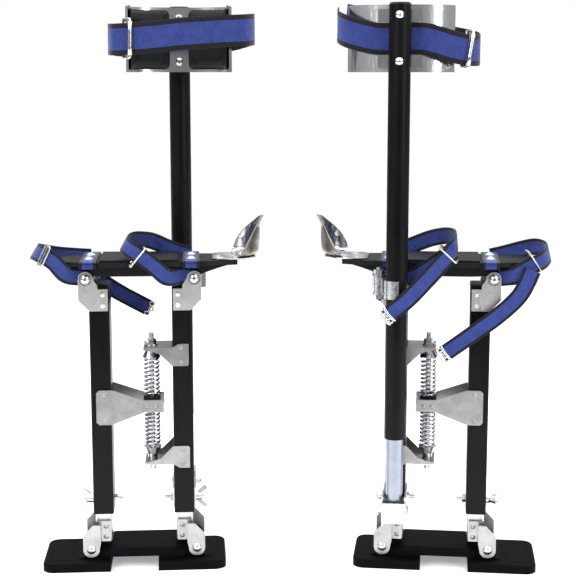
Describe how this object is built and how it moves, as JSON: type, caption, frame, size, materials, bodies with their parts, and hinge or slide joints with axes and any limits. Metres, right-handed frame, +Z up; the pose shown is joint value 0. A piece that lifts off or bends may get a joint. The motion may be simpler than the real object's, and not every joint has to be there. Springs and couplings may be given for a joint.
{
  "type": "drywall stilts",
  "caption": "Adjustable aluminium work stilts with spring-tempered ankle action, calf bands, heel cups and buckled blue webbing straps.",
  "frame": {"origin": "centre of the pair's footprint at floor level", "axes": "+Z up; +X from the stilt whose mast is on the far side to the one whose mast is on the near side; -Y is the near side"},
  "size_m": [0.7555, 0.1864, 0.8248],
  "materials": {
    "leg_black": "satin black powder coat",
    "alloy": "satin",
    "polished": "polished",
    "zinc": "bright zinc plate",
    "sole_rubber": "matte",
    "deck_black": "matte, fine ribs",
    "pad_black": "vinyl-faced foam",
    "webbing": "ribbed royal blue webbing with black edges"
  },
  "bodies": {
    "a_base": {"a_sole": "sole_rubber", "a_sole_pivot_lugs": "sole_rubber", "a_sole_pivot_bolts": "zinc"},
    "a_rear_lower": {"a_rear_inner_tube": "alloy", "a_rear_foot_bracket": "alloy"},
    "a_rear_upper": {"a_rear_outer_tube": "leg_black", "a_rear_top_bracket": "alloy", "a_spring_arms": "alloy", "a_spring_rod": "zinc", "a_spring_upper": "zinc", "a_spring_lower": "zinc", "a_strut_bracket": "alloy", "a_strut_tube": "alloy", "a_mast_bracket": "zinc"},
    "a_platform": {"a_foot_plate": "deck_black", "a_top_pivot_bolts": "zinc", "a_foot_straps": "webbing"},
    "a_heel": {"a_heel_cup": "polished"},
    "a_mast": {"a_mast_tube": "leg_black", "a_calf_band": "polished", "a_calf_pads": "pad_black", "a_calf_strap": "webbing"},
    "a_front_lower": {"a_front_inner_tube": "alloy", "a_front_foot_bracket": "alloy"},
    "a_front_upper": {"a_front_outer_tube": "leg_black", "a_front_top_bracket": "alloy", "a_spring_yoke": "alloy", "a_spring_collar": "deck_black"},
    "a_front_wing": {"a_front_wing_bolt": "zinc"},
    "a_rear_wing": {"a_rear_wing_bolt": "zinc"},
    "b_base": {"b_sole": "sole_rubber", "b_sole_pivot_lugs": "sole_rubber", "b_sole_pivot_bolts": "zinc"},
    "b_rear_lower": {"b_rear_inner_tube": "alloy", "b_rear_foot_bracket": "alloy"},
    "b_rear_upper": {"b_rear_outer_tube": "leg_black", "b_rear_top_bracket": "alloy", "b_spring_arms": "alloy", "b_spring_rod": "zinc", "b_spring_upper": "zinc", "b_spring_lower": "zinc", "b_strut_bracket": "alloy", "b_strut_tube": "alloy", "b_mast_bracket": "zinc"},
    "b_platform": {"b_foot_plate": "deck_black", "b_top_pivot_bolts": "zinc", "b_foot_straps": "webbing"},
    "b_heel": {"b_heel_cup": "polished"},
    "b_mast": {"b_mast_tube": "leg_black", "b_calf_band": "polished", "b_calf_pads": "pad_black", "b_calf_strap": "webbing"},
    "b_front_lower": {"b_front_inner_tube": "alloy", "b_front_foot_bracket": "alloy"},
    "b_front_upper": {"b_front_outer_tube": "leg_black", "b_front_top_bracket": "alloy", "b_spring_yoke": "alloy", "b_spring_collar": "deck_black"},
    "b_front_wing": {"b_front_wing_bolt": "zinc"},
    "b_rear_wing": {"b_rear_wing_bolt": "zinc"}
  },
  "joints": [
    {"name": "a_rear_swing", "type": "hinge", "parent": "a_base", "child": "a_rear_lower", "pos_m": [-0.14262, 0.00142, 0.028], "axis": [-0.0698, 0.9976, 0], "range_deg": [-7, 7], "stiffness_Nm_per_rad": 260, "deforming": ["a_spring_upper", "a_spring_lower"]},
    {"name": "a_rear_height", "type": "slide", "parent": "a_rear_lower", "child": "a_rear_upper", "axis": [0, 0, 1], "range_m": [0, 0.25]},
    {"name": "a_platform_tilt", "type": "hinge", "parent": "a_rear_upper", "child": "a_platform", "pos_m": [-0.14262, 0.00142, 0.434], "axis": [-0.0698, 0.9976, 0], "range_deg": [-7.5, 7.5]},
    {"name": "a_heel_shift", "type": "slide", "parent": "a_platform", "child": "a_heel", "axis": [0.9976, 0.0698, 0], "range_m": [-0.012, 0.012]},
    {"name": "a_mast_height", "type": "slide", "parent": "a_rear_upper", "child": "a_mast", "axis": [0, 0, 1], "range_m": [0, 0.08]},
    {"name": "a_front_swing", "type": "hinge", "parent": "a_base", "child": "a_front_lower", "pos_m": [-0.29824, -0.00946, 0.028], "axis": [-0.0698, 0.9976, 0], "range_deg": [-7.5, 7.5]},
    {"name": "a_front_height", "type": "slide", "parent": "a_front_lower", "child": "a_front_upper", "axis": [0, 0, 1], "range_m": [0, 0.251]},
    {"name": "a_front_wing_turn", "type": "hinge", "parent": "a_front_upper", "child": "a_front_wing", "pos_m": [-0.28029, -0.00821, 0.095], "axis": [0.9976, 0.0698, 0], "continuous": true},
    {"name": "a_rear_wing_turn", "type": "hinge", "parent": "a_rear_upper", "child": "a_rear_wing", "pos_m": [-0.16058, 0.00016, 0.095], "axis": [0.9976, 0.0698, 0], "continuous": true},
    {"name": "b_set_apart", "type": "slide", "parent": "a_base", "child": "b_base", "axis": [1, 0, 0], "range_m": [0, 0.2]},
    {"name": "b_rear_swing", "type": "hinge", "parent": "b_base", "child": "b_rear_lower", "pos_m": [0.14019, 0.00541, 0.028], "axis": [-0.1132, -0.9936, 0], "range_deg": [-7, 7], "stiffness_Nm_per_rad": 260, "deforming": ["b_spring_upper", "b_spring_lower"]},
    {"name": "b_rear_height", "type": "slide", "parent": "b_rear_lower", "child": "b_rear_upper", "axis": [0, 0, 1], "range_m": [0, 0.25]},
    {"name": "b_platform_tilt", "type": "hinge", "parent": "b_rear_upper", "child": "b_platform", "pos_m": [0.14019, 0.00541, 0.434], "axis": [-0.1132, -0.9936, 0], "range_deg": [-7.5, 7.5]},
    {"name": "b_heel_shift", "type": "slide", "parent": "b_platform", "child": "b_heel", "axis": [-0.9936, 0.1132, 0], "range_m": [-0.012, 0.012]},
    {"name": "b_mast_height", "type": "slide", "parent": "b_rear_upper", "child": "b_mast", "axis": [0, 0, 1], "range_m": [0, 0.08]},
    {"name": "b_front_swing", "type": "hinge", "parent": "b_base", "child": "b_front_lower", "pos_m": [0.29519, -0.01225, 0.028], "axis": [-0.1132, -0.9936, 0], "range_deg": [-7.5, 7.5]},
    {"name": "b_front_height", "type": "slide", "parent": "b_front_lower", "child": "b_front_upper", "axis": [0, 0, 1], "range_m": [0, 0.251]},
    {"name": "b_front_wing_turn", "type": "hinge", "parent": "b_front_upper", "child": "b_front_wing", "pos_m": [0.2773, -0.01021, 0.095], "axis": [-0.9936, 0.1132, 0], "continuous": true},
    {"name": "b_rear_wing_turn", "type": "hinge", "parent": "b_rear_upper", "child": "b_rear_wing", "pos_m": [0.15808, 0.00338, 0.095], "axis": [-0.9936, 0.1132, 0], "continuous": true}
  ],
  "couplings": [
    {"joint": "a_front_swing", "follows": "a_rear_swing", "ratio": 1},
    {"joint": "a_platform_tilt", "follows": "a_rear_swing", "ratio": -1},
    {"joint": "a_front_height", "follows": "a_rear_height", "ratio": 1},
    {"joint": "b_front_swing", "follows": "b_rear_swing", "ratio": 1},
    {"joint": "b_platform_tilt", "follows": "b_rear_swing", "ratio": -1},
    {"joint": "b_front_height", "follows": "b_rear_height", "ratio": 1}
  ]
}
